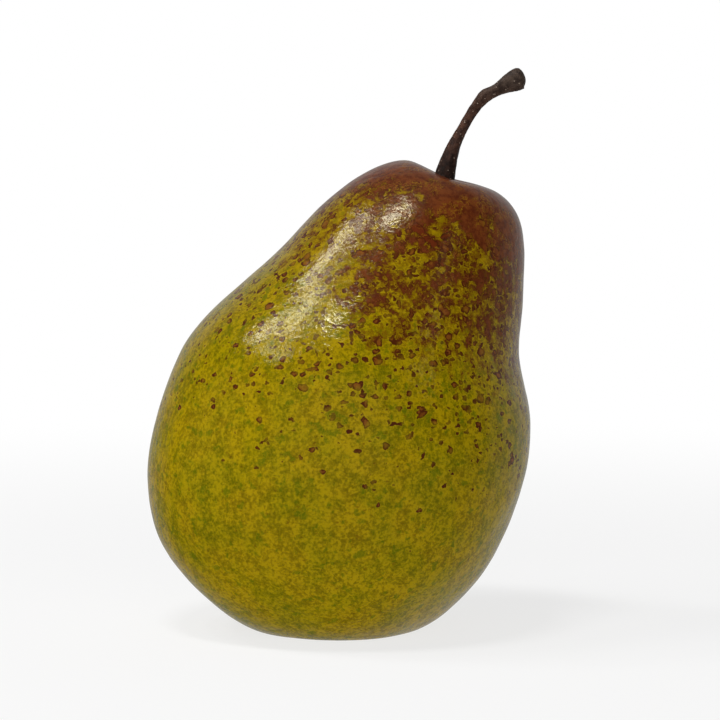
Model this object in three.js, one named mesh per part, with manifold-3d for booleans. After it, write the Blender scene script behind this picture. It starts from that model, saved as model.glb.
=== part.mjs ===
// A ripe pear that stands on its own base and leans to one side: the fruit, its woody stem, and the
// dried calyx in the eye underneath. Millimetres, +Z up. The origin is on the surface that the fruit
// stands on, below the middle of the fruit. The neck leans towards +X.

import * as THREE from "three";
import { mergeVertices } from "three/addons/utils/BufferGeometryUtils.js";
import Module from "manifold-3d";

const wasm = await Module();
wasm.setup();

// Driving dimensions
const FRUIT_WIDTH = 76.4;
const FRUIT_DEPTH = 75.2;
const FRUIT_HEIGHT = 93.6;
const LEAN = 22; // how far the crown stands to the side of the base
const CROWN_TILT = 20; // degrees that the crown is tipped over
const STEM_THICKNESS = 2; // at its thinnest
const STEM_ROOT = 4; // how deep the stem is rooted in the flesh
const EYE_RADIUS = 3; // the dried calyx's cup
const CUP_ROOT = 1.8; // how far the cup is sunk above the eye's floor
const CUP_DEPTH = 1.2; // how far its mouth stands below it
const CUP_FLOOR = 0.3; // how far the cup's own floor is above the eye's
const CUP_WALL = 0.8;
const SEPALS = 5;
const STAMENS = 9;
const GAP = 0.3; // left round a piece that is seated in another

// Steps of a smooth run of rings for each control ring, and corners of a ring
const FRUIT_STEPS = 3;
const FRUIT_SIDES = 60;
const STEM_STEPS = 2;
const STEM_SIDES = 14;
const CUP_SIDES = 30;
const SEPAL_STEPS = 2;
const SEPAL_SIDES = 8;
const STAMEN_SIDES = 5;

// The fruit is a smooth skin drawn over these rings, from the eye underneath to the stem pit. Each row
// is height, radius, lean and tilt, as shares of the fruit's height, half its width, LEAN and CROWN_TILT.
const FRUIT_RINGS = [
  [0.068, 0.0, 0.0, 0.0], // floor of the eye
  [0.066, 0.09, 0.0, 0.0],
  [0.03, 0.21, 0.0, 0.0], // wall of the basin
  [-0.018, 0.35, 0.0, 0.0], // rim that the fruit stands on
  [0.019, 0.53, -0.038, 0.0],
  [0.065, 0.659, -0.046, 0.0], // underside
  [0.133, 0.819, -0.059, 0.0],
  [0.235, 0.948, -0.045, -0.1],
  [0.357, 1.0, -0.01, 0.055], // belly
  [0.467, 0.965, 0.082, 0.125],
  [0.576, 0.895, 0.143, 0.41], // slope up to the neck
  [0.666, 0.745, 0.348, 0.62],
  [0.748, 0.642, 0.57, 0.725], // waist
  [0.824, 0.571, 0.718, 0.91], // neck
  [0.89, 0.487, 0.857, 0.91],
  [0.947, 0.375, 1.009, 0.98], // crown
  [0.98, 0.211, 1.028, 1.0], // lip of the stem pit
  [0.958, 0.075, 0.985, 1.0],
  [0.95, 0.0, 0.975, 1.0], // floor of the stem pit
];

const FULL_RELIEF_RADIUS = 20; // lobes and lumps die away on smaller rings, towards the eye and the pit

// Low lobes that run round the fruit: how many, height share, reach in mm up and down, rise in mm, turn
const LOBES = [
  [5, 0.06, 10, 0.45, 0.5],
  [3, 0.36, 22, 0.7, 2.1],
  [3, 0.87, 14, 0.5, -0.6],
];

// Single swellings and dents: degrees round from +X, height share, degrees wide, reach in mm, rise in mm
const LUMPS = [
  [229, 0.68, 34, 6, -0.5], // dent in the front of the neck
  [246, 0.684, 44, 14, 1.7], // and the soft swelling that it lies in
  [205, 0.9, 34, 8, 0.6], // shoulder beside the stem
  [300, 0.43, 30, 16, -0.5],
  [262, 0.56, 26, 10, 0.5],
  [92, 0.6, 34, 12, 0.8],
  [55, 0.74, 26, 8, -0.7],
  [128, 0.3, 30, 14, -0.6],
];

// The stem's bent line, from its root to its cut tip: steps to the side, back and up from the pit, in
// mm, and the radius there as a share of half STEM_THICKNESS.
const STEM_LINE = [
  [-1.3, 0.0, -STEM_ROOT, 0.0],
  [-1.3, 0.0, -STEM_ROOT, 1.4],
  [-1.0, 0.0, -1.6, 2.2],
  [-0.5, 0.0, 1.4, 2.15], // where it leaves the flesh
  [0.3, -0.1, 4.7, 1.65],
  [1.4, -0.2, 7.9, 1.28],
  [2.8, -0.3, 10.6, 1.0], // thinnest
  [4.6, -0.4, 13.9, 0.97],
  [6.3, -0.4, 16.4, 1.15],
  [8.1, -0.4, 17.8, 1.15], // knee
  [9.9, -0.3, 18.7, 1.2],
  [11.8, -0.1, 19.8, 1.85],
  [13.6, 0.1, 20.5, 2.2], // flared tip
  [14.8, 0.2, 20.9, 2.25],
  [15.3, 0.3, 21.0, 1.7],
  [15.6, 0.3, 21.0, 0.7],
  [15.8, 0.3, 21.0, 0.0],
];
const KNEE = { at: 0.545, long: 0.04, rise: 0.35 }; // the small node on top of the bend, by share of length
const FLUTES = { count: 3, rise: 0.06, twist: 9 }; // the stem isn't quite round

// A withered stamen: outwards from the eye's axis, down from the eye's floor, radius
const STAMEN_LINE = [
  [0.7, -1.2, 0.0],
  [0.7, -1.2, 0.35],
  [0.9, 0.0, 0.34],
  [1.1, 1.1, 0.32],
  [1.4, 2.0, 0.42],
  [1.4, 2.3, 0.0],
];

// A dried sepal: outwards from the eye's axis, down from the cup's mouth, half width, half thickness
const SEPAL_LINE = [
  [2.0, -1.0, 0.9, 0.2],
  [2.3, -0.4, 1.5, 0.45],
  [3.1, 0.7, 1.7, 0.4],
  [4.0, 1.9, 1.35, 0.36],
  [5.2, 2.8, 0.9, 0.34],
  [6.5, 3.1, 0.4, 0.32],
  [7.2, 2.9, 0.1, 0.1],
];

const FRUIT_COLOUR = 0x9a8a12;
const STEM_COLOUR = 0x3a2820;
const CALYX_COLOUR = 0x4a3a26;

const radians = THREE.MathUtils.degToRad;

// Rows of numbers blended by a uniform cubic B-spline, with a number of steps for each row.
function smoothRows(rows, steps) {
  const smooth = [];
  for (let i = 0; i + 3 < rows.length; i++) {
    const lastSpan = i + 4 === rows.length;
    for (let k = 0; k < steps + (lastSpan ? 1 : 0); k++) {
      const t = k / steps;
      const weights = [(1 - t) ** 3, 3 * t ** 3 - 6 * t ** 2 + 4, -3 * t ** 3 + 3 * t ** 2 + 3 * t + 1, t ** 3];
      smooth.push(rows[0].map((_, c) => weights.reduce((sum, w, j) => sum + (w / 6) * rows[i + j][c], 0)));
    }
  }
  return smooth;
}

// A closed geometry over rings of points. The first and last rings have shrunk to one point each.
function skinOver(rings) {
  const sides = rings[0].length;
  const body = rings.slice(1, -1);
  const points = [rings[0][0], ...body.flat(), rings.at(-1)[0]];
  const at = (ring, side) => 1 + ring * sides + (side % sides);
  const last = points.length - 1;
  const faces = [];
  for (let j = 0; j < sides; j++) {
    faces.push(0, at(0, j + 1), at(0, j));
    for (let i = 0; i + 1 < body.length; i++) {
      faces.push(at(i, j), at(i, j + 1), at(i + 1, j + 1));
      faces.push(at(i, j), at(i + 1, j + 1), at(i + 1, j));
    }
    faces.push(last, at(body.length - 1, j), at(body.length - 1, j + 1));
  }
  return new THREE.BufferGeometry().setFromPoints(points).setIndex(faces);
}

// A geometry swept along rows of centre x, y, z and the section's two half sizes, the first along Y and
// the second across the bend. relief(share along, turn) is added to both. Turn 90 is the bend's upper side.
function sweep(rows, steps, sides, relief = () => 0) {
  const ends = [rows[1], rows.at(-2)].map(([x, y, z, a, b]) => [x, y, z, -a, -b]);
  const smooth = smoothRows([ends[0], ...rows, ends[1]], steps);
  const centres = smooth.map(([x, y, z]) => new THREE.Vector3(x, y, z));
  const rings = smooth.map(([, , , a, b], i) => {
    const before = centres[Math.max(i - 1, 0)];
    const after = centres[Math.min(i + 1, centres.length - 1)];
    const across = new THREE.Vector3(0, 1, 0);
    const over = new THREE.Vector3().crossVectors(after.clone().sub(before), across).normalize();
    return Array.from({ length: sides }, (_, j) => {
      const turn = (2 * Math.PI * j) / sides;
      const closing = Math.min(a, b) < 0.2;
      const extra = closing ? 0 : relief(i / (smooth.length - 1), turn);
      return centres[i]
        .clone()
        .addScaledVector(across, Math.cos(turn) * (a + extra))
        .addScaledVector(over, Math.sin(turn) * (b + extra));
    });
  });
  return skinOver(rings);
}

function solidOf(geometry) {
  const merged = mergeVertices(geometry, 1e-4);
  return new wasm.Manifold(
    new wasm.Mesh({
      numProp: 3,
      vertProperties: new Float32Array(merged.attributes.position.array),
      triVerts: new Uint32Array(merged.index.array),
    }),
  );
}

function geometryOf(solid) {
  const mesh = solid.getMesh();
  return new THREE.BufferGeometry()
    .setAttribute("position", new THREE.BufferAttribute(mesh.vertProperties, 3))
    .setIndex(new THREE.BufferAttribute(mesh.triVerts, 1));
}

// How far lobes and lumps push the skin out, at a turn round the fruit, a height share and a ring's radius.
function unevenness(turn, height, radius) {
  const up = height * FRUIT_HEIGHT;
  let rise = 0;
  for (const [count, middle, reach, high, phase] of LOBES)
    rise += high * Math.exp(-(((up - middle * FRUIT_HEIGHT) / reach) ** 2)) * Math.cos(count * turn + phase);
  for (const [round, middle, wide, reach, high] of LUMPS) {
    const away = Math.atan2(Math.sin(turn - radians(round)), Math.cos(turn - radians(round)));
    const level = (up - middle * FRUIT_HEIGHT) / reach;
    rise += high * Math.exp(-(level ** 2) - (away / radians(wide)) ** 2);
  }
  return rise * Math.min(radius / FULL_RELIEF_RADIUS, 1);
}

// The fruit's rings of points, sized to the driving dimensions and pressed flat where it stands.
function fruitRings() {
  const mirrored = ([height, radius, lean, tilt]) => [height, -radius, lean, tilt];
  const rows = [mirrored(FRUIT_RINGS[1]), ...FRUIT_RINGS, mirrored(FRUIT_RINGS.at(-2))];
  const rings = smoothRows(rows, FRUIT_STEPS).map(([height, radius, lean, tilt]) => {
    const slope = radians(tilt * CROWN_TILT);
    const plain = (radius * FRUIT_WIDTH) / 2;
    return Array.from({ length: FRUIT_SIDES }, (_, j) => {
      const turn = (2 * Math.PI * j) / FRUIT_SIDES;
      const out = plain + unevenness(turn, height, plain);
      return new THREE.Vector3(
        lean * LEAN + out * Math.cos(turn) * Math.cos(slope),
        out * Math.sin(turn),
        Math.max(height * FRUIT_HEIGHT - out * Math.cos(turn) * Math.sin(slope), 0),
      );
    });
  });
  const box = new THREE.Box3().setFromPoints(rings.flat());
  const middle = box.getCenter(new THREE.Vector3()).setZ(0);
  const wanted = new THREE.Vector3(FRUIT_WIDTH, FRUIT_DEPTH, FRUIT_HEIGHT);
  const scale = wanted.divide(box.getSize(new THREE.Vector3()));
  for (const point of rings.flat()) point.sub(middle).multiply(scale);
  return rings;
}

// The stem, from its root in the pit to its cut tip. grown makes it thicker, to cut its own seat.
function stemGeometry(pit, grown = 0) {
  const rows = STEM_LINE.map(([side, back, up, thick]) => {
    const radius = thick > 0 ? (thick * STEM_THICKNESS) / 2 + grown : 0;
    return [pit.x + side, pit.y + back, pit.z + up - (up === -STEM_ROOT ? grown : 0), radius, radius];
  });
  const flutes = (along, turn) => FLUTES.rise * Math.cos(FLUTES.count * turn + FLUTES.twist * along);
  const knee = (along, turn) =>
    KNEE.rise * Math.exp(-(((along - KNEE.at) / KNEE.long) ** 2)) * Math.max(Math.sin(turn), 0) ** 2;
  return sweep(rows, STEM_STEPS, STEM_SIDES, (along, turn) => flutes(along, turn) + knee(along, turn));
}

// A closed shape turned round the eye's axis from an outline of radius and height above the eye's floor.
// It runs anticlockwise, from the axis back to the axis.
function turned(outline, eye) {
  const points = outline.map(([radius, up]) => new THREE.Vector2(radius, eye.z + up));
  const geometry = new THREE.LatheGeometry(points, CUP_SIDES);
  geometry.deleteAttribute("normal");
  geometry.deleteAttribute("uv");
  return geometry.rotateX(Math.PI / 2).translate(eye.x, eye.y, 0);
}

// The calyx's cup, sunk in the eye and hollow below.
function cupSolid(eye) {
  const outline = [
    [0, CUP_FLOOR],
    [EYE_RADIUS - CUP_WALL, CUP_FLOOR],
    [EYE_RADIUS - CUP_WALL, -CUP_DEPTH],
    [EYE_RADIUS, -CUP_DEPTH],
    [EYE_RADIUS, CUP_ROOT * 0.7],
    [EYE_RADIUS * 0.8, CUP_ROOT],
    [0, CUP_ROOT],
  ];
  return solidOf(turned(outline, eye));
}

// Dried sepals curl out and down from the cup, round a tuft of withered stamens. No two are quite alike.
function calyxSolid(eye) {
  let calyx = cupSolid(eye);
  const add = (rows, steps, sides, turn) => {
    const piece = sweep(rows, steps, sides).rotateZ(radians(turn)).translate(eye.x, eye.y, eye.z);
    calyx = calyx.add(solidOf(piece));
  };
  for (let i = 0; i < SEPALS; i++) {
    const vary = Math.sin(2.4 * i + 1);
    const rows = SEPAL_LINE.map(([out, down, wide, thick]) => [
      out * (1 + 0.06 * vary),
      0,
      -CUP_DEPTH - down * (0.92 + 0.08 * vary),
      wide,
      thick,
    ]);
    add(rows, SEPAL_STEPS, SEPAL_SIDES, (360 / SEPALS) * i + 9 * vary);
  }
  for (let i = 0; i < STAMENS; i++) {
    const vary = Math.sin(3.7 * i + 0.6);
    const rows = STAMEN_LINE.map(([out, down, radius]) => [
      out + 0.3 * vary,
      0,
      -down * (1 + 0.1 * vary),
      radius,
      radius,
    ]);
    add(rows, 1, STAMEN_SIDES, (360 / STAMENS) * i + 14 * vary);
  }
  return calyx;
}

function mesh(name, geometry, color, roughness) {
  const made = new THREE.Mesh(geometry, new THREE.MeshStandardMaterial({ color, roughness, metalness: 0 }));
  made.name = name;
  return made;
}

const rings = fruitRings();
const eye = rings[0][0];
const pit = rings.at(-1)[0];
const seat = [
  [0, -CUP_DEPTH - GAP],
  [EYE_RADIUS + GAP, -CUP_DEPTH - GAP],
  [EYE_RADIUS + GAP, CUP_ROOT + GAP],
  [0, CUP_ROOT + GAP],
];
const fruit = solidOf(skinOver(rings))
  .subtract(solidOf(stemGeometry(pit, GAP)))
  .subtract(solidOf(turned(seat, eye)));

const pear = new THREE.Group();
pear.name = "pear";
pear.add(mesh("fruit", geometryOf(fruit), FRUIT_COLOUR, 0.4));
pear.add(mesh("stem", stemGeometry(pit), STEM_COLOUR, 0.7));
pear.add(mesh("calyx", geometryOf(calyxSolid(eye)), CALYX_COLOUR, 0.9));

export default pear;
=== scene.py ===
"""A ripe pear, whole and alone. It stands on its own base, with its neck leaning to one side."""
import math

import bpy
import numpy as np
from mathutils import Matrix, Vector, noise


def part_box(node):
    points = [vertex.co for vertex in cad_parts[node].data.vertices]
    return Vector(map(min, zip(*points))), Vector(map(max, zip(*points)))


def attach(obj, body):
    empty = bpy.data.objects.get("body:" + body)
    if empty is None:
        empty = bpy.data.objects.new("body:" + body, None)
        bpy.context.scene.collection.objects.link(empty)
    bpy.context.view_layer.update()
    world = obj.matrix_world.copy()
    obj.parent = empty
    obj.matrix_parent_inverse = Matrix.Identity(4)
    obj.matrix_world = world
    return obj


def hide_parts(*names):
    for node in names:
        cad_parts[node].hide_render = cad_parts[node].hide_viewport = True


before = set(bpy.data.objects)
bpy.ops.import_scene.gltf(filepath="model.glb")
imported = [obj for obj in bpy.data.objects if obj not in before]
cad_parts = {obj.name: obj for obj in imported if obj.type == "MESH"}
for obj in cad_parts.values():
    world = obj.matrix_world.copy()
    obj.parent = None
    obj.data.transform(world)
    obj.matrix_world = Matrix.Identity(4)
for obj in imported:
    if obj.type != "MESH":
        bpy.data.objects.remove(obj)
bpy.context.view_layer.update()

# The fruit: flesh and skin, grown in one piece. The skin is thin, waxy and smooth. It is drawn in to a pit
# round the stem above and to a basin round the calyx below, and pressed flat where the pear stands.
MM = 0.001
FRUIT_LOW, FRUIT_HIGH = (np.array(corner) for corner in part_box("fruit"))
FRUIT_SIZE = FRUIT_HIGH - FRUIT_LOW
HALF_WIDTH = FRUIT_SIZE[0] / 2
LEAN = 22 * MM
CROWN_TILT = 20
# height, radius, lean and tilt, as shares of the fruit's height, half its width, LEAN and CROWN_TILT
FRUIT_RINGS = [
    (0.068, 0.0, 0.0, 0.0),  # floor of the eye
    (0.066, 0.09, 0.0, 0.0),
    (0.03, 0.21, 0.0, 0.0),  # wall of the basin
    (-0.018, 0.35, 0.0, 0.0),  # rim that the fruit stands on
    (0.019, 0.53, -0.038, 0.0),
    (0.065, 0.659, -0.046, 0.0),  # underside
    (0.133, 0.819, -0.059, 0.0),
    (0.235, 0.948, -0.045, -0.1),
    (0.357, 1.0, -0.01, 0.055),  # belly
    (0.467, 0.965, 0.082, 0.125),
    (0.576, 0.895, 0.143, 0.41),  # slope up to the neck
    (0.666, 0.745, 0.348, 0.62),
    (0.748, 0.642, 0.57, 0.725),  # waist
    (0.824, 0.571, 0.718, 0.91),  # neck
    (0.89, 0.487, 0.857, 0.91),
    (0.947, 0.375, 1.009, 0.98),  # crown
    (0.98, 0.211, 1.028, 1.0),  # lip of the stem pit
    (0.958, 0.075, 0.985, 1.0),
    (0.95, 0.0, 0.975, 1.0),  # floor of the stem pit
]
# how many, height share, reach in mm up and down, rise in mm, turn
LOBES = [
    (5, 0.06, 10, 0.45, 0.5),
    (3, 0.36, 22, 0.7, 2.1),
    (3, 0.87, 14, 0.5, -0.6),
]
# degrees round from +X, height share, degrees wide, reach in mm, rise in mm
LUMPS = [
    (229, 0.68, 34, 6, -0.5),  # dent in the front of the neck
    (246, 0.684, 44, 14, 1.7),  # and the soft swelling that it lies in
    (205, 0.9, 34, 8, 0.6),  # shoulder beside the stem
    (300, 0.43, 30, 16, -0.5),
    (262, 0.56, 26, 10, 0.5),
    (92, 0.6, 34, 12, 0.8),
    (55, 0.74, 26, 8, -0.7),
    (128, 0.3, 30, 14, -0.6),
]
FULL_RELIEF_RADIUS = 20 * MM  # lobes and lumps fade out closer to the fruit's own axis
SKIN_WAVES = [(8, 0.18), (3.2, 0.05)]  # size and rise in mm
LIP_DIP = 1.9 * MM  # how far the lip of the stem pit sinks in front of the stem and behind it
LIP_RADIUS, DIP_WIDE, DIP_DEEP = 6.5 * MM, 4.2 * MM, 9 * MM
FRUIT_STEPS = 15
FRUIT_SIDES = 320


def smooth_rows(rows, steps):
    """Rows of numbers blended by a uniform cubic B-spline, with a number of steps for each row."""
    rows = np.asarray(rows, float)
    spans = len(rows) - 3
    along = np.arange(spans * steps + 1) / steps
    start = np.minimum(along.astype(int), spans - 1)
    t = (along - start)[:, None]
    weights = [(1 - t) ** 3, 3 * t**3 - 6 * t**2 + 4, -3 * t**3 + 3 * t**2 + 3 * t + 1, t**3]
    return sum(weight * rows[start + k] for k, weight in enumerate(weights)) / 6


def unevenness(turn, height, radius):
    """How far lobes and lumps push the skin out, in metres."""
    up = height * FRUIT_SIZE[2] / MM
    rise = np.zeros(np.broadcast(turn, height).shape)
    for count, middle, reach, high, phase in LOBES:
        level = (up - middle * FRUIT_SIZE[2] / MM) / reach
        rise += high * np.exp(-(level**2)) * np.cos(count * turn + phase)
    for round_at, middle, wide, reach, high in LUMPS:
        away = np.angle(np.exp(1j * (turn - math.radians(round_at))))
        level = (up - middle * FRUIT_SIZE[2] / MM) / reach
        rise += high * np.exp(-(level**2) - (away / math.radians(wide)) ** 2)
    return rise * MM * np.clip(radius / FULL_RELIEF_RADIUS, None, 1)


def grain(x, y, z):
    """Smooth noise from about -0.5 to 0.5 at places where its features are about 1 across."""
    x, y, z = np.broadcast_arrays(x, y, z)
    values = [noise.noise(place) for place in zip(x.flat, y.flat, z.flat)]
    return np.reshape(values, x.shape)


def fruit_points():
    """The skin's points, ring by ring from the eye to the stem pit, in the fruit's own box."""
    mirrored = np.array([1, -1, 1, 1])
    rings = np.array(FRUIT_RINGS)
    rows = np.vstack([rings[1] * mirrored, rings, rings[-2] * mirrored])
    height, radius, lean, tilt = (column[:, None] for column in smooth_rows(rows, FRUIT_STEPS).T)
    turn = np.linspace(0, 2 * np.pi, FRUIT_SIDES, endpoint=False)[None, :]
    slope = np.radians(tilt * CROWN_TILT)
    out = radius * HALF_WIDTH
    out = out + unevenness(turn, height, out)
    for size, rise in SKIN_WAVES:
        places = (out * np.cos(turn), out * np.sin(turn), height * FRUIT_SIZE[2])
        waves = grain(*(place / (size * MM) for place in places))
        out = out + rise * MM * waves * np.clip(radius * 3, 0, 1)
    x = lean * LEAN + out * np.cos(turn) * np.cos(slope)
    y = out * np.sin(turn)
    z = np.maximum(height * FRUIT_SIZE[2] - out * np.cos(turn) * np.sin(slope), 0)
    dip = LIP_DIP * np.exp(-(((x - x[-1, 0]) / DIP_WIDE) ** 2) - (y / DIP_DEEP) ** 2)
    z = z - dip * (height > 0.8) * np.clip(out / LIP_RADIUS, 0, 1) ** 2
    points = np.stack([x, y, z], axis=-1)
    low, high = points.min((0, 1)), points.max((0, 1))
    return FRUIT_LOW + (points - low) * FRUIT_SIZE / (high - low)


def skinned(name, *bodies):
    """A mesh of closed bodies over rings of points. The first and last rings have shrunk to a point."""
    corners = []
    faces = []
    for points in bodies:
        sides = points.shape[1]
        first = len(corners)
        body = np.vstack([points[0, :1], points[1:-1].reshape(-1, 3), points[-1, :1]])
        corners += body.tolist()
        rings = first + 1 + np.arange((len(points) - 2) * sides).reshape(-1, sides)
        after = np.roll(rings, -1, axis=1)
        faces += np.stack([np.full(sides, first), after[0], rings[0]], axis=-1).tolist()
        quads = np.stack([rings[:-1], after[:-1], after[1:], rings[1:]], axis=-1)
        faces += quads.reshape(-1, 4).tolist()
        faces += np.stack([np.full(sides, len(corners) - 1), rings[-1], after[-1]], axis=-1).tolist()
    made = bpy.data.meshes.new(name)
    made.from_pydata(corners, [], faces)
    made.shade_smooth()
    piece = bpy.data.objects.new(name, made)
    bpy.context.collection.objects.link(piece)
    return piece


class Wire:
    """A shader node's output. Sums and products of wires and numbers are Math nodes."""

    def __init__(self, tree, socket=None):
        self.tree = tree
        self.socket = socket

    def node(self, kind, settings=None, sockets=None, out=0):
        made = self.tree.nodes.new("ShaderNode" + kind)
        for name, value in (settings or {}).items():
            setattr(made, name, value)
        for name, value in (sockets or {}).items():
            if isinstance(value, Wire):
                self.tree.links.new(value.socket, made.inputs[name])
            else:
                made.inputs[name].default_value = value
        return Wire(self.tree, made.outputs[out] if made.outputs else None)

    def maths(self, operation, other):
        return self.node("Math", {"operation": operation}, {0: self, 1: other})

    def __add__(self, other):
        return self.maths("ADD", other)

    def __sub__(self, other):
        return self.maths("SUBTRACT", other)

    def __rsub__(self, other):
        return self.node("Math", {"operation": "SUBTRACT"}, {0: other, 1: self})

    def __mul__(self, other):
        return self.maths("MULTIPLY", other)

    __radd__ = __add__
    __rmul__ = __mul__

    def ease(self, start, end):
        """0 up to start, 1 from end, and smooth between them."""
        settings = {"interpolation_type": "SMOOTHSTEP"}
        return self.node("MapRange", settings, {"Value": self, "From Min": start, "From Max": end})

    def tint(self, under, over, blend="MIX"):
        """The colour under where this mask is 0, and over where it is 1."""
        settings = {"data_type": "RGBA", "blend_type": blend}
        return self.node("Mix", settings, {0: self, 6: under, 7: over}, out=2)

    def noise(self, size, detail=2.0, roughness=0.5, warp=0.0, out="Fac"):
        """Noise whose features are about size metres across, at this place."""
        sockets = {"Scale": 1 / size, "Detail": detail, "Roughness": roughness, "Distortion": warp}
        return self.node("TexNoise", {}, {"Vector": self, **sockets}, out)

    def vector(self, operation, *others, out=0):
        return self.node("VectorMath", {"operation": operation}, dict(enumerate([self, *others])), out)

    def twin(self, out):
        """Another output of the same node."""
        return Wire(self.tree, self.socket.node.outputs[out])

    def shown(self, kind="Material"):
        """Makes this shader the one that the surface, or the world, shows."""
        self.node("Output" + kind, {}, {"Surface": self})


def finish_for(name):
    """A new material's starting wire."""
    made = bpy.data.materials.new(name)
    made.use_nodes = True
    made.node_tree.nodes.clear()
    return made, Wire(made.node_tree)


def srgb(red, green, blue):
    """A colour as seen, from 0 to 255, as the linear colour that a shader takes."""
    def linear(value):
        value /= 255
        return value / 12.92 if value <= 0.04045 else ((value + 0.055) / 1.055) ** 2.4

    return (linear(red), linear(green), linear(blue), 1.0)


skin_points = fruit_points()
fruit = skinned("pear_fruit", skin_points)


def corners_of(piece):
    """The mesh's corners, in metres, as rows of x, y, z."""
    places = np.empty(len(piece.data.vertices) * 3)
    piece.data.vertices.foreach_get("co", places)
    return places.reshape(-1, 3)


def paint(piece, name, values):
    """Stores a number at every corner of the mesh, for the material to read."""
    layer = piece.data.attributes.new(name, "FLOAT", "POINT")
    layer.data.foreach_set("value", np.asarray(values, np.float32))


skin_corners = corners_of(fruit) / MM
crown = np.array(skin_points[-1, 0]) / MM
eye = np.array(skin_points[0, 0]) / MM


def near(place, reach):
    """1 at a place on the skin, dying away over a reach in mm."""
    return np.exp(-((np.linalg.norm(skin_corners - place, axis=1) / reach) ** 2))


def on_front(x, z):
    """The place on the skin at x and z in mm, on the side towards -Y."""
    away = np.hypot(skin_corners[:, 0] - x, skin_corners[:, 2] - z)
    away[skin_corners[:, 1] > crown[1]] = np.inf
    nearest = np.argsort(away)[:4]
    return np.array([x, np.average(skin_corners[nearest, 1], weights=1 / (away[nearest] + 0.01)), z])


# how much of the skin is russet: nearly all round the stem, then less and less, least on the left
RUSSET_CAP = 15  # mm from the stem
RUSSET_LOSS = 0.031  # with every mm further down
LEFT_FROM, LEFT_FADE, LEFT_LOSS = 6, 8, 0.25  # x in mm, mm further to the left, share
across, heights = skin_corners[:, 0], skin_corners[:, 2]
from_stem = np.linalg.norm(skin_corners - crown, axis=1)
left_of_stem = LEFT_FROM - across + 3 * np.sin((skin_corners[:, 1] + 22) / 5)
cover = 1.08 - RUSSET_LOSS * np.clip(from_stem - RUSSET_CAP, 0, None)
cover -= LEFT_LOSS * np.clip(left_of_stem / LEFT_FADE, 0, 1)
RUSSET_SPOTS = [  # x, z, reach in mm, and how much more or less of the skin is russet
    (11.5, 70, 8, 0.12),
    (9.8, 64, 4, 0.1),
    (2.2, 64, 4, 0.1),
    (14.5, 75.5, 3.4, -0.5),
    (19.3, 81.1, 1.9, -0.7),
    (22.8, 76.3, 1.9, -0.65),
    (26.3, 76.5, 1.3, -0.7),
    (28.1, 74.5, 1.7, -0.6),
    (9.2, 88.5, 3, -0.3),
    (15, 87.5, 2.5, -0.3),
    (2.5, 85, 3.5, -0.3),
    (29, 82.5, 2.5, -0.25),
]
for x, z, reach, more in RUSSET_SPOTS:
    cover += more * near(on_front(x, z), reach)
cover = np.clip(cover, 0.002, 0.98)
cover = np.maximum(cover, 0.5 * near(eye, 9))
paint(fruit, "russet_level", np.log(cover / (1 - cover)) / 1.7)
shares = 0.04 + 0.9 * np.clip((heights + 0.35 * across - 18) / 50, 0, 1) ** 1.3
paint(fruit, "fleck_share", np.clip(shares, 0, 1))
paint(fruit, "warmth", np.clip((46 - from_stem) / 24, 0, 1))

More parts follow.
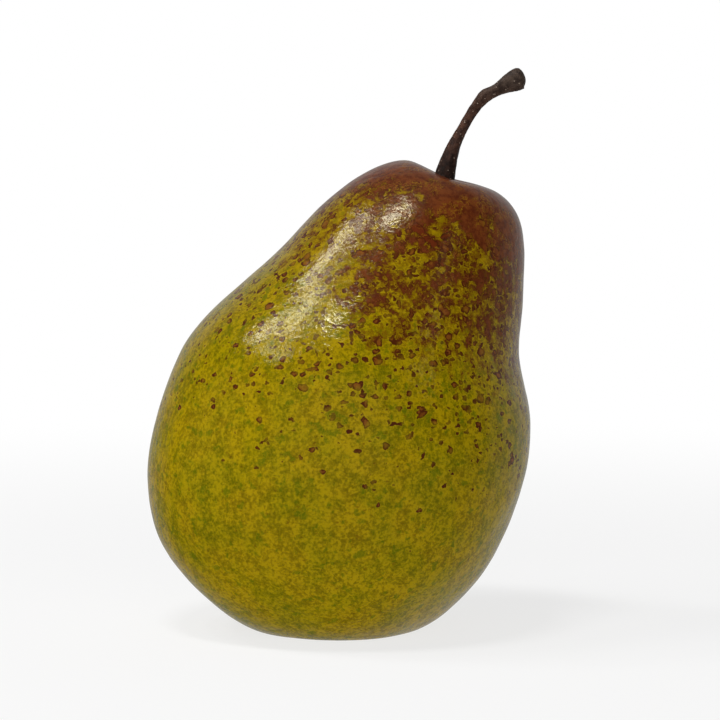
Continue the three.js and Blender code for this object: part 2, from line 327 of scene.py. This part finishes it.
# the plainest single flecks: x, z, half length, half width in mm and tilt in degrees, on the front
FLECKS = [
    (6.2, 76.2, 0.9, 0.7, 90), (8.0, 76.4, 0.8, 0.7, 0), (11.1, 75.9, 1.0, 0.6, 90),
    (2.5, 60.8, 1.4, 0.8, 92), (6.4, 66.7, 1.0, 0.6, 5), (5.0, 65.6, 1.3, 0.6, 105),
    (9.3, 66.4, 0.7, 0.7, 0), (11.6, 66.9, 0.8, 0.6, 90), (4.4, 63.7, 0.9, 0.6, 20),
    (19.7, 66.0, 1.0, 0.8, 90), (14.0, 65.2, 1.2, 0.6, 90), (16.5, 63.5, 0.7, 0.5, 90),
    (14.1, 61.2, 1.1, 0.6, 15), (18.8, 61.1, 1.9, 0.7, 12), (21.2, 60.4, 0.9, 0.8, 0),
    (11.0, 60.0, 1.3, 0.6, 8), (7.7, 59.8, 0.9, 0.8, 90), (-1.8, 73.0, 0.8, 0.6, 10),
    (0.3, 74.9, 0.6, 0.5, 0), (-1.7, 76.4, 1.5, 0.7, -5), (-2.1, 79.0, 1.1, 0.8, 90),
    (14.0, 72.1, 1.8, 0.5, 3), (17.0, 73.4, 1.6, 0.5, 22), (11.9, 72.7, 1.0, 0.5, -25),
    (16.7, 49.0, 1.4, 0.6, 8), (16.0, 46.3, 1.3, 0.8, 32), (11.1, 44.7, 1.2, 0.45, 8),
    (5.4, 44.8, 0.9, 0.6, 90), (-0.8, 46.0, 0.8, 0.5, 80), (5.2, 48.6, 0.8, 0.5, 90),
    (1.1, 48.9, 0.6, 0.5, 0), (13.5, 50.3, 0.6, 0.6, 0), (13.8, 48.5, 0.5, 0.5, 0),
    (8.8, 51.8, 0.8, 0.5, 100), (7.3, 52.4, 0.6, 0.5, 90), (4.5, 52.4, 0.5, 0.5, 0),
    (22.6, 47.4, 1.4, 0.7, 14), (14.1, 42.7, 0.5, 0.5, 0), (21.3, 39.2, 0.7, 0.6, 60),
    (16.1, 38.5, 0.8, 0.4, 70), (18.1, 36.7, 0.5, 0.4, 90), (-2.8, 35.9, 0.7, 0.5, 12),
    (5.2, 33.1, 0.7, 0.5, 90), (7.6, 29.6, 0.6, 0.5, 70), (-4.8, 40.0, 0.7, 0.5, 30),
    (-7.0, 38.6, 0.7, 0.5, 90), (26.2, 48.2, 0.8, 0.6, 65), (29.5, 49.6, 1.4, 0.5, 80),
    (29.2, 43.3, 0.8, 0.5, 0), (27.1, 42.8, 0.7, 0.5, 90), (26.9, 41.1, 0.8, 0.5, 0),
    (26.5, 39.6, 0.6, 0.5, 80), (27.1, 37.1, 0.8, 0.5, 0), (29.9, 36.1, 1.3, 0.5, 65),
    (-18.0, 62.9, 0.9, 0.7, 70), (-20.6, 52.3, 0.7, 0.6, 65), (-16.1, 51.8, 0.7, 0.5, 30),
    (-21.9, 50.0, 0.6, 0.5, 0), (-14.8, 45.3, 0.7, 0.6, 30), (-14.0, 41.3, 0.9, 0.35, 38),
    (-6.9, 56.3, 0.8, 0.5, 0), (-4.9, 55.0, 1.2, 0.5, 12), (-4.1, 58.0, 0.8, 0.5, 90),
    (-15.0, 64.6, 1.0, 0.6, 15), (-8.5, 45.7, 0.5, 0.4, 90),
]
TONGUES = [  # dark runs of russet down from the crown, in the same numbers
    (15.4, 80.8, 1.5, 1.1, -30), (16.9, 79.3, 1.6, 0.9, -42), (18.5, 77.6, 1.6, 0.85, -58),
    (19.4, 75.6, 1.7, 0.6, -82), (20.8, 79.4, 1.3, 0.9, 20), (24.3, 76.5, 1.7, 0.45, -52),
    (29.9, 75.7, 1.5, 0.6, -75), (21.6, 76.8, 0.7, 0.6, 0),
]


def fleck_ends(x, z, half_length, half_width, tilt):
    """The two places near the ends of a fleck, its foci, in metres."""
    apart = math.sqrt(max(half_length**2 - half_width**2, 0))
    turn = math.radians(tilt)
    along = np.array([math.cos(turn), math.sin(turn)]) * apart
    return [Vector(on_front(x + sign * along[0], z + sign * along[1])) * MM for sign in (-1, 1)]


def fleck_steepness(half_length, half_width):
    """What a fleck's field is multiplied by, to reach its half width in the middle."""
    apart = math.sqrt(max(half_length**2 - half_width**2, 0))
    return half_width / (half_length - apart)


def pear_skin():
    """Finely mottled yellow and olive green, with russet flecks, a russet crown and a waxy gloss."""
    material, start = finish_for("pear_skin")
    place = start.node("TexCoord", out="Object")
    level = start.node("Attribute", {"attribute_name": "russet_level"}, out="Fac")
    share = start.node("Attribute", {"attribute_name": "fleck_share"}, out="Fac")
    warmth = start.node("Attribute", {"attribute_name": "warmth"}, out="Fac")

    def ragged(at, size, far):
        """The place pushed about by noise of one size, by up to about half of far."""
        push = at.noise(size, detail=1.0, out="Color").vector("SUBTRACT", (0.5, 0.5, 0.5))
        return at.vector("ADD", push.vector("MULTIPLY", (far, far, far)))

    warped = ragged(ragged(place, 1.0 * MM, 1.1 * MM), 0.35 * MM, 0.45 * MM)

    fine = ragged(place, 0.5 * MM, 0.9 * MM).noise(0.6 * MM, detail=2.0, roughness=0.7)
    clouds = place.noise(2.4 * MM, detail=3.0, roughness=0.7)
    tone = ((fine + clouds) * 0.5).ease(0.39, 0.61)
    patches = place.noise(7 * MM, detail=2.0).ease(0.35, 0.65)
    yellow = patches.tint(srgb(148, 129, 3), srgb(160, 134, 5))
    olive = patches.tint(srgb(98, 92, 1), srgb(112, 94, 2))
    colour = tone.tint(olive, yellow)
    green_spots = warped.noise(1.9 * MM, detail=1.5, roughness=0.5).ease(0.60, 0.68)
    colour = (green_spots * 0.75).tint(colour, srgb(86, 94, 3))
    drawn_out = warped.vector("MULTIPLY", (0.5, 0.5, 1.0))
    dashes = drawn_out.noise(0.55 * MM, detail=1.0).ease(0.66, 0.76)
    colour = (dashes * 0.6).tint(colour, srgb(94, 62, 4))

    def flecks(cell, size, often):
        """Round to ragged spots, one at most to a cell. The wire is above 0 inside one, in metres."""
        stretched = warped.vector("MULTIPLY", (1.0, 1.0, 1.3))
        spots = stretched.node("TexVoronoi", {}, {"Vector": stretched, "Scale": 1 / cell}, "Distance")
        luck = stretched.node("SeparateColor", {}, {0: spots.twin("Color")}, 0)
        radius = ((share * often - luck) * (4 * size)).maths("MINIMUM", size)
        return radius - spots * cell

    field = flecks(3.4 * MM, 1.15 * MM, 0.6)
    for cell, size, often in [(2.2, 0.76, 1.05), (1.5, 0.44, 0.7)]:
        field = field.maths("MAXIMUM", flecks(cell * MM, size * MM, often))

    def one_fleck(x, z, half_length, half_width, tilt):
        """A fleck drawn out between two places. The wire reaches its half width in the middle."""
        foci = fleck_ends(x, z, half_length, half_width, tilt)
        ends = [warped.vector("DISTANCE", focus, out="Value") for focus in foci]
        steep = fleck_steepness(half_length, half_width)
        return half_length * steep * MM - (ends[0] + ends[1]) * (0.5 * steep)

    for fleck in FLECKS:
        field = field.maths("MAXIMUM", one_fleck(*fleck))
    tongue = one_fleck(*TONGUES[0])
    for fleck in TONGUES[1:]:
        tongue = tongue.maths("MAXIMUM", one_fleck(*fleck))
    spot = field.ease(-0.05 * MM, 0.05 * MM)
    halo = field.ease(-0.3 * MM, -0.08 * MM) * (1 - spot)
    middle = field.ease(0.24 * MM, 0.6 * MM)

    folds = (place.noise(0.8 * MM, detail=2.0, roughness=0.6) - 0.5).maths("ABSOLUTE", 0)
    net = 1 - folds.ease(0.0, 0.04)
    colour = (net * 0.4).tint(colour, srgb(168, 144, 12))
    colour = (warmth * 0.45).tint(colour, srgb(142, 104, 10))
    patch = warped.noise(2.2 * MM, detail=5.0, roughness=0.75) + level * 0.085 - 0.5
    thin = patch.ease(-0.1, -0.005)
    thick = patch.ease(-0.03, 0.05)
    core = patch.ease(0.02, 0.085)
    solid = patch.ease(0.04, 0.12)
    colour = (thin * 0.8).tint(colour, srgb(114, 82, 6))
    colour = thick.tint(colour, srgb(98, 60, 7))
    colour = (core * 0.9).tint(colour, srgb(68, 30, 9))
    blotch = place.noise(1.6 * MM, detail=4.0, roughness=0.7)
    red = blotch.ease(0.36, 0.64).tint(srgb(82, 34, 14), srgb(108, 54, 22))
    colour = solid.tint(colour, red)
    colour = (tongue.ease(-0.05 * MM, 0.06 * MM) * 0.9).tint(colour, srgb(60, 25, 10))
    colour = (tongue.ease(0.2 * MM, 0.6 * MM) * 0.9).tint(colour, srgb(98, 40, 16))
    strands = net * place.noise(4 * MM, detail=2.0).ease(0.46, 0.6)
    colour = (strands * solid * 0.75).tint(colour, srgb(146, 104, 18))
    clear = 1 - solid * 0.9
    colour = (halo * (1 - thick) * 0.45).tint(colour, srgb(164, 140, 14))
    inside = middle.tint(srgb(70, 27, 9), srgb(120, 68, 20))
    faint = place.noise(2 * MM, detail=1.0).ease(0.35, 0.6) * 0.38 + 0.6
    colour = (spot * clear * faint).tint(colour, inside)
    russet = thick.maths("MAXIMUM", spot)

    pores = ragged(place, 0.8 * MM, 0.6 * MM).noise(0.55 * MM, detail=1.0, roughness=0.5)
    ripples = place.noise(1.8 * MM, detail=1.0)
    relief = pores * (0.05 * MM) + ripples * (0.1 * MM)
    bump = start.node("Bump", {}, {"Height": relief, "Distance": 1.0})
    roughness = 0.16 + 0.05 * russet
    sockets = {"Base Color": colour, "Roughness": roughness, "Normal": bump}
    sockets |= {"IOR": 1.4, "Specular Tint": (1, 0.93, 0.62, 1)}
    start.node("BsdfPrincipled", {}, sockets).shown()
    return material


fruit.data.materials.append(pear_skin())
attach(fruit, "root")
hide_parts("fruit")

# The stem: a woody stalk that grows from the flesh at the bottom of the pit. It bends at a small node and
# flares where it broke off the branch. It is dark dry bark, wrinkled along its length, with pale pores.
STEM_THICKNESS = 2  # at its thinnest, in mm
STEM_ROOT = 4
STEM_LENGTH = 34  # about, along its bend, root and all
STEM_HEIGHT = 22  # about, above the pit
# steps to the side, back and up from the pit in mm, and the radius there as a share of half STEM_THICKNESS
STEM_LINE = [
    (-1.3, 0.0, -STEM_ROOT, 0.0),
    (-1.3, 0.0, -STEM_ROOT, 1.4),
    (-1.0, 0.0, -1.6, 2.2),
    (-0.5, 0.0, 1.4, 2.15),  # where it leaves the flesh
    (0.3, -0.1, 4.7, 1.65),
    (1.4, -0.2, 7.9, 1.28),
    (2.8, -0.3, 10.6, 1.0),  # thinnest
    (4.6, -0.4, 13.9, 0.97),
    (6.3, -0.4, 16.4, 1.15),
    (8.1, -0.4, 17.8, 1.15),  # knee
    (9.9, -0.3, 18.7, 1.2),
    (11.8, -0.1, 19.8, 1.85),
    (13.4, 0.1, 20.45, 2.2),  # flared tip
    (14.2, 0.2, 20.75, 2.25),
    (14.4, 0.2, 20.85, 2.2),  # edge of the broken face
    (14.75, 0.25, 20.95, 1.85),
    (15.25, 0.3, 21.1, 1.1),
    (15.4, 0.3, 21.15, 0.0),
]
KNEE_AT, KNEE_LONG, KNEE_RISE = 0.51, 0.04, 0.35  # two shares along the stem, and mm
FLUTES, FLUTE_RISE, FLUTE_TWIST = 3, 0.09, 9  # how many, mm, and radians from root to tip
STEM_STEPS = 12
STEM_SIDES = 60
PIT = skin_points[-1, 0]


def swept(rows, steps, sides, relief):
    """Rings of points along rows, in mm, of centre x, y, z and two half sizes, along Y and across the bend.
    relief(share along, turn) is added to both half sizes and dies away at the ends."""
    rows = np.asarray(rows, float)
    ends = rows[[1, -2]] * [1, 1, 1, -1, -1]
    smooth = smooth_rows(np.vstack([ends[:1], rows, ends[1:]]), steps)
    centres, half = smooth[:, None, :3], smooth[:, None, 3:]
    sideways = np.array([0.0, 1.0, 0.0])
    over = np.cross(np.gradient(centres[:, 0], axis=0), sideways)[:, None]
    over /= np.linalg.norm(over, axis=2, keepdims=True)
    turn = np.linspace(0, 2 * np.pi, sides, endpoint=False)[None, :]
    share = np.linspace(0, 1, len(smooth))[:, None]
    half = half + (relief(share, turn) * np.clip(half.min(2) / 0.3 - 0.3, 0, 1))[..., None]
    along_y = half[..., :1] * np.cos(turn)[..., None] * sideways
    across_bend = half[..., 1:] * np.sin(turn)[..., None] * over
    return centres + (along_y + across_bend)


def bark(share, turn):
    """Flutes, the knee, wrinkles along the stem and small pits, in mm."""
    long = share * STEM_LENGTH
    wrinkles = grain(1.9 * np.cos(turn), 1.9 * np.sin(turn), long * 0.35)
    knots = grain(1.5 * np.cos(turn), 1.5 * np.sin(turn), long * 1.3)
    pits = np.clip(grain(4.5 * np.cos(turn), 4.5 * np.sin(turn), long * 3.2) - 0.12, 0, 1)
    knee = np.exp(-(((share - KNEE_AT) / KNEE_LONG) ** 2)) * np.clip(np.sin(turn), 0, 1) ** 2
    flutes = FLUTE_RISE * np.cos(FLUTES * turn + FLUTE_TWIST * share)
    return flutes + KNEE_RISE * knee + 0.07 * wrinkles + 0.05 * knots - 0.14 * pits - 0.02


stem_rows = []
for side, back, up, thick in STEM_LINE:
    radius = thick * STEM_THICKNESS / 2
    stem_rows.append((PIT[0] / MM + side, PIT[1] / MM + back, PIT[2] / MM + up, radius, radius))
stem_points = swept(stem_rows, STEM_STEPS, STEM_SIDES, bark) * MM
stem = skinned("pear_stem", np.clip(stem_points, *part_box("stem")))
stem_corners = corners_of(stem) / MM
paint(stem, "up_the_stem", (stem_corners[:, 2] - PIT[2] / MM) / STEM_HEIGHT)


def stem_bark():
    """Nearly black at the root, red brown half way up and greyer at the tip, with pale pores."""
    material, start = finish_for("stem_bark")
    place = start.node("TexCoord", out="Object")
    up = start.node("Attribute", {"attribute_name": "up_the_stem"}, out="Fac")
    blotches = place.noise(1.2 * MM, detail=3.0)
    middle = blotches.ease(0.35, 0.65).tint(srgb(46, 25, 16), srgb(76, 47, 33))
    root = blotches.ease(0.35, 0.65).tint(srgb(22, 12, 8), srgb(44, 26, 19))
    tip = blotches.ease(0.35, 0.65).tint(srgb(44, 33, 26), srgb(70, 56, 46))
    colour = (up + blotches * 0.2).ease(0.2, 0.6).tint(root, middle)
    colour = (up + blotches * 0.2).ease(0.75, 1.05).tint(colour, tip)
    fine = place.noise(0.16 * MM, detail=2.0)
    colour = (fine.ease(0.52, 0.72) * 0.3).tint(colour, srgb(108, 88, 76))
    spots = place.node("TexVoronoi", {}, {"Vector": place, "Scale": 1 / (0.85 * MM)}, "Distance")
    pores = 1 - spots.ease(0.10, 0.19)
    colour = (pores * 0.7).tint(colour, srgb(158, 140, 124))
    relief = (place.noise(0.3 * MM, detail=3.0) * 0.07 + fine * 0.025 + pores * 0.03) * MM
    bump = start.node("Bump", {}, {"Height": relief, "Distance": 1.0})
    sockets = {"Base Color": colour, "Roughness": 0.5 + blotches * 0.2, "Normal": bump, "IOR": 1.3}
    start.node("BsdfPrincipled", {}, sockets).shown()
    return material


stem.data.materials.append(stem_bark())
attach(stem, "root")
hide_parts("stem")

# The calyx: what is left of the blossom in the eye. A shallow cup with five dried sepals that curl out and
# down, round a tuft of withered stamens. It is thin, dry, brown and brittle, and grown fast to the flesh.
CUP_DEPTH = 1.2
# radius, and height above the eye's floor, from the middle below, round the rim, to the middle above
CUP_OUTLINE = [
    (0.0, -0.4), (0.9, -0.4), (1.7, -0.45), (2.1, -0.6), (2.2, -0.9), (2.4, -1.15),
    (2.8, -1.1), (2.95, -0.6), (3.0, 0.3), (2.85, 1.1), (2.2, 1.65), (1.0, 1.8), (0.0, 1.8),
]
SEPALS = 5
# outwards from the eye's axis, down from the cup's mouth, half width, half thickness
SEPAL_LINE = [
    (2.0, -1.0, 0.9, 0.2),
    (2.3, -0.4, 1.5, 0.4),
    (3.1, 0.7, 1.7, 0.3),
    (4.0, 1.9, 1.35, 0.26),
    (5.2, 2.75, 0.9, 0.22),
    (6.4, 3.0, 0.42, 0.18),
    (7.0, 2.9, 0.08, 0.08),
]
SEPAL_CURL = 0.5
STAMENS = 9
# outwards from the eye's axis, down from the eye's floor, radius
STAMEN_LINE = [
    (0.7, -1.2, 0.0),
    (0.7, -1.2, 0.25),
    (0.9, 0.0, 0.2),
    (1.1, 1.1, 0.17),
    (1.35, 1.8, 0.2),
    (1.4, 2.05, 0.42),
    (1.4, 2.25, 0.3),
    (1.4, 2.3, 0.0),
]
EYE = skin_points[0, 0]


def set_round(points, degrees):
    """Points in mm about the eye, turned round its axis and moved to it."""
    turn = math.radians(degrees)
    across, back, up = np.moveaxis(points, -1, 0)
    x = across * math.cos(turn) - back * math.sin(turn)
    y = across * math.sin(turn) + back * math.cos(turn)
    return EYE + np.stack([x, y, up], axis=-1) * MM


def crumpled(share, turn):
    """The uneven surface of a dried scale, in mm."""
    return 0.12 * grain(2 * np.cos(turn), 2 * np.sin(turn), share * 9) - 0.04


outline = np.array(CUP_OUTLINE)
outline = np.vstack([outline[1] * [-1, 1], outline, outline[-2] * [-1, 1]])
radius, up = (column[:, None] for column in smooth_rows(outline, 5).T)
turn = np.linspace(0, 2 * np.pi, 96, endpoint=False)[None, :]
radius = radius * (0.98 + 0.03 * grain(2 * np.cos(turn), 2 * np.sin(turn), up * 1.5))
cup = np.stack([radius * np.cos(turn), radius * np.sin(turn), up + 0 * turn], axis=-1)
calyx_bodies = [set_round(cup[:, ::-1], 0)]
for i in range(SEPALS):
    vary = math.sin(2.4 * i + 1)
    rows = [
        (out * (1 + 0.06 * vary), 0, -CUP_DEPTH - down * (0.92 + 0.08 * vary), wide, thick)
        for out, down, wide, thick in SEPAL_LINE
    ]
    sepal = swept(rows, 8, 40, crumpled)
    sepal[..., 2] += SEPAL_CURL * np.abs(sepal[..., 1]) ** 1.5 * 0.5
    sepal[..., 2] += 0.25 * grain(sepal[..., 0] * 0.8 + 7 * i, sepal[..., 1] * 1.1, 0.5)
    calyx_bodies.append(set_round(sepal, 360 / SEPALS * i + 9 * vary))
for i in range(STAMENS):
    vary = math.sin(3.7 * i + 0.6)
    rows = [
        (out + 0.3 * vary, 0, -down * (1 + 0.1 * vary), size, size)
        for out, down, size in STAMEN_LINE
    ]
    stamen = swept(rows, 3, 12, lambda share, turn: 0 * share * turn)
    calyx_bodies.append(set_round(stamen, 360 / STAMENS * i + 14 * vary))
calyx = skinned("pear_calyx", *(np.clip(body, *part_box("calyx")) for body in calyx_bodies))


def dry_calyx():
    """Dull brown, greyer and paler towards the sepals' tips, with dark veins and blotches."""
    material, start = finish_for("dry_calyx")
    place = start.node("TexCoord", out="Object")
    from_eye = place.vector("SUBTRACT", tuple(EYE)).vector("MULTIPLY", (1, 1, 0))
    away = from_eye.vector("LENGTH", out="Value")
    blotches = place.noise(0.9 * MM, detail=4.0, roughness=0.6)
    inner = blotches.ease(0.35, 0.65).tint(srgb(34, 23, 14), srgb(64, 45, 27))
    outer = blotches.ease(0.35, 0.65).tint(srgb(70, 52, 34), srgb(112, 90, 64))
    colour = (away + blotches * (2 * MM)).ease(2.5 * MM, 6.5 * MM).tint(inner, outer)
    fine = place.noise(0.25 * MM, detail=3.0)
    colour = (fine.ease(0.52, 0.7) * 0.5).tint(colour, srgb(30, 20, 12))
    relief = (blotches * 0.15 + fine * 0.06) * MM
    bump = start.node("Bump", {}, {"Height": relief, "Distance": 1.0})
    sockets = {"Base Color": colour, "Roughness": 0.75 + fine * 0.2, "Normal": bump, "IOR": 1.35}
    start.node("BsdfPrincipled", {}, sockets).shown()
    return material


calyx.data.materials.append(dry_calyx())
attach(calyx, "root")
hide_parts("calyx")

# The studio: a plain pale floor that runs out into a pale backdrop, soft light from all sides, and windows
# high on the left that the waxy skin mirrors. The camera stands where the photograph was taken from.
FLOOR = 3.0
floor_mesh = bpy.data.meshes.new("floor")
floor_corners = [(-FLOOR, -FLOOR, 0), (FLOOR, -FLOOR, 0), (FLOOR, FLOOR, 0), (-FLOOR, FLOOR, 0)]
floor_mesh.from_pydata(floor_corners, [], [(0, 1, 2, 3)])
floor = bpy.data.objects.new("floor", floor_mesh)
bpy.context.collection.objects.link(floor)
BACKDROP = (1.0, 1.0, 1.0, 1.0)


def pale_floor():
    """Matt white near the pear, running out into the backdrop's own brightness, and clear from below."""
    material, start = finish_for("pale_floor")
    from_pear = start.node("TexCoord", out="Object").vector("LENGTH", out="Value")
    white = {"Base Color": (0.86, 0.86, 0.86, 1), "Roughness": 0.9, "IOR": 1.2}
    matt = start.node("BsdfPrincipled", {}, white)
    glow = start.node("Emission", {}, {"Color": BACKDROP})
    runs_out = from_pear.ease(0.08, 0.4) * 0.25 + 0.75
    mixed = start.node("MixShader", {}, {0: runs_out, 1: matt, 2: glow})
    clear = start.node("BsdfTransparent")
    below = start.node("NewGeometry", out="Backfacing")
    start.node("MixShader", {}, {0: below, 1: mixed, 2: clear}).shown()
    return material


floor_mesh.materials.append(pale_floor())
floor.visible_glossy = False

world = bpy.data.worlds.new("studio")
world.use_nodes = True
world.node_tree.nodes.clear()
sky = Wire(world.node_tree)
seen = sky.node("LightPath", out="Is Camera Ray")
towards = sky.node("SeparateXYZ", {}, {0: sky.node("TexCoord", out="Generated")})
behind = (towards.twin("Y") + towards * 0.35).ease(0.1, 1.1) * 0.45
strength = behind + towards.twin("Z").ease(0.8, 1.0) * 0.2
strength = strength + seen * (1 - strength)
light = sky.node("Background", {}, {"Color": BACKDROP, "Strength": strength})
light.shown("World")
bpy.context.scene.world = world


def soft_box(name, azimuth, elevation, distance, size, power, mirrored=True):
    """A flat light that faces the pear. Azimuth is from the camera's side, towards +X."""
    lamp = bpy.data.lights.new(name, "AREA")
    lamp.shape = "RECTANGLE"
    lamp.size, lamp.size_y = size
    lamp.energy = power
    place = bpy.data.objects.new(name, lamp)
    a, e = math.radians(azimuth), math.radians(elevation)
    away = Vector((math.sin(a) * math.cos(e), -math.cos(a) * math.cos(e), math.sin(e)))
    place.location = Vector((0, 0, 0.055)) + away * distance
    place.rotation_mode = "QUATERNION"
    place.rotation_quaternion = away.to_track_quat("Z", "Y")
    place.visible_glossy = mirrored
    bpy.context.collection.objects.link(place)


soft_box("window_left", -96, 49, 1.0, (0.18, 0.18), 1.5)
soft_box("window_middle", -81, 60, 1.0, (0.22, 0.1), 1.2)
soft_box("window_low", -65, 46, 1.0, (0.3, 0.07), 0.7)
soft_box("window_above", -28, 69, 1.0, (0.25, 0.12), 3.8)
soft_box("lamp", 54, 27, 1.0, (0.08, 0.08), 0.06)
soft_box("front", -8, 6, 1.4, (2.2, 1.6), 17, mirrored=False)
soft_box("left", -85, 5, 1.2, (1.2, 0.8), 4.5, mirrored=False)

AIM = Vector((4.2 * MM, 0, 53.7 * MM))
CAMERA_DISTANCE = 600 * MM
CAMERA_ELEVATION = math.radians(5)
camera_data = bpy.data.cameras.new("camera")
camera_data.sensor_width = 36
camera_data.lens = 150
camera = bpy.data.objects.new("camera", camera_data)
back = Vector((0, -math.cos(CAMERA_ELEVATION), math.sin(CAMERA_ELEVATION)))
camera.location = AIM + back * CAMERA_DISTANCE
camera.rotation_mode = "QUATERNION"
camera.rotation_quaternion = back.to_track_quat("Z", "Y")
bpy.context.collection.objects.link(camera)
bpy.context.scene.camera = camera
bpy.context.scene.view_settings.view_transform = "Standard"
